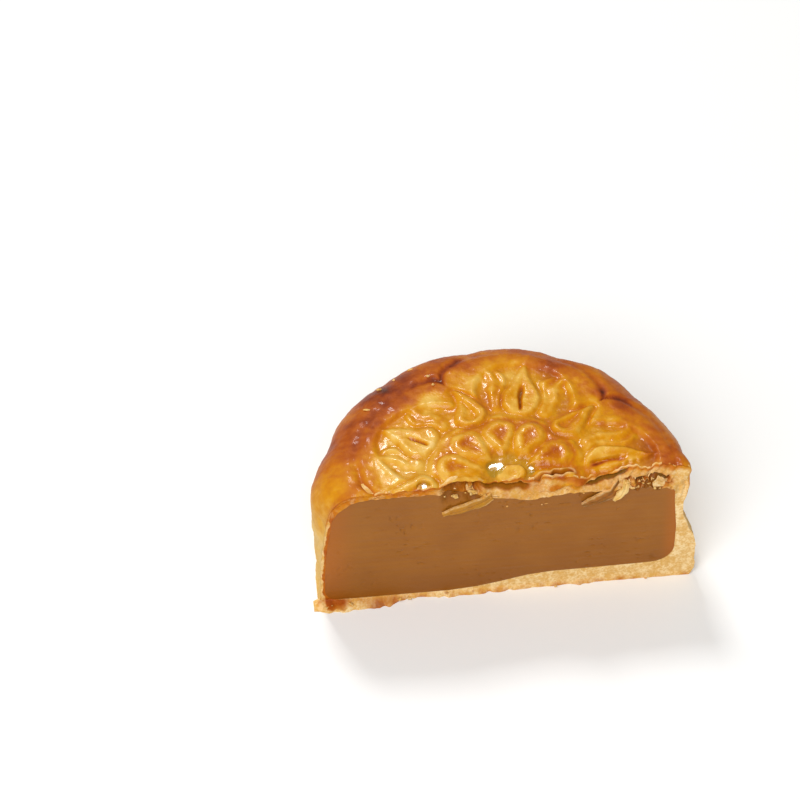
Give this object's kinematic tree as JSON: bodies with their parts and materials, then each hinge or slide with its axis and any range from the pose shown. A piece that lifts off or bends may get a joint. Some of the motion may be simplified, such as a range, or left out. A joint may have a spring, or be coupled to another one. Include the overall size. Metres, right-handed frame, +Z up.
{
  "type": "half lotus seed mooncake",
  "caption": "Half of a round baked mooncake with a moulded lotus flower on its lobed, glazed pastry, cut to show the smooth lotus seed paste.",
  "frame": {"origin": "point where the round cake's axis meets the flat base, 2.5 mm behind the cut", "axes": "+X along the cut from its left end to its right as seen from in front, +Y away from the cut into the cake, +Z up from the base"},
  "size_m": [0.0839, 0.0468, 0.037],
  "materials": {
    "pastry": "baked pastry, egg-washed and glossy on top, matte and pale where it was cut",
    "lotus_paste": "smooth brown bean paste with a dull sheen where the knife went through"
  },
  "bodies": {
    "root": {"pastry": "pastry", "lotus_paste": "lotus_paste"}
  },
  "joints": []
}
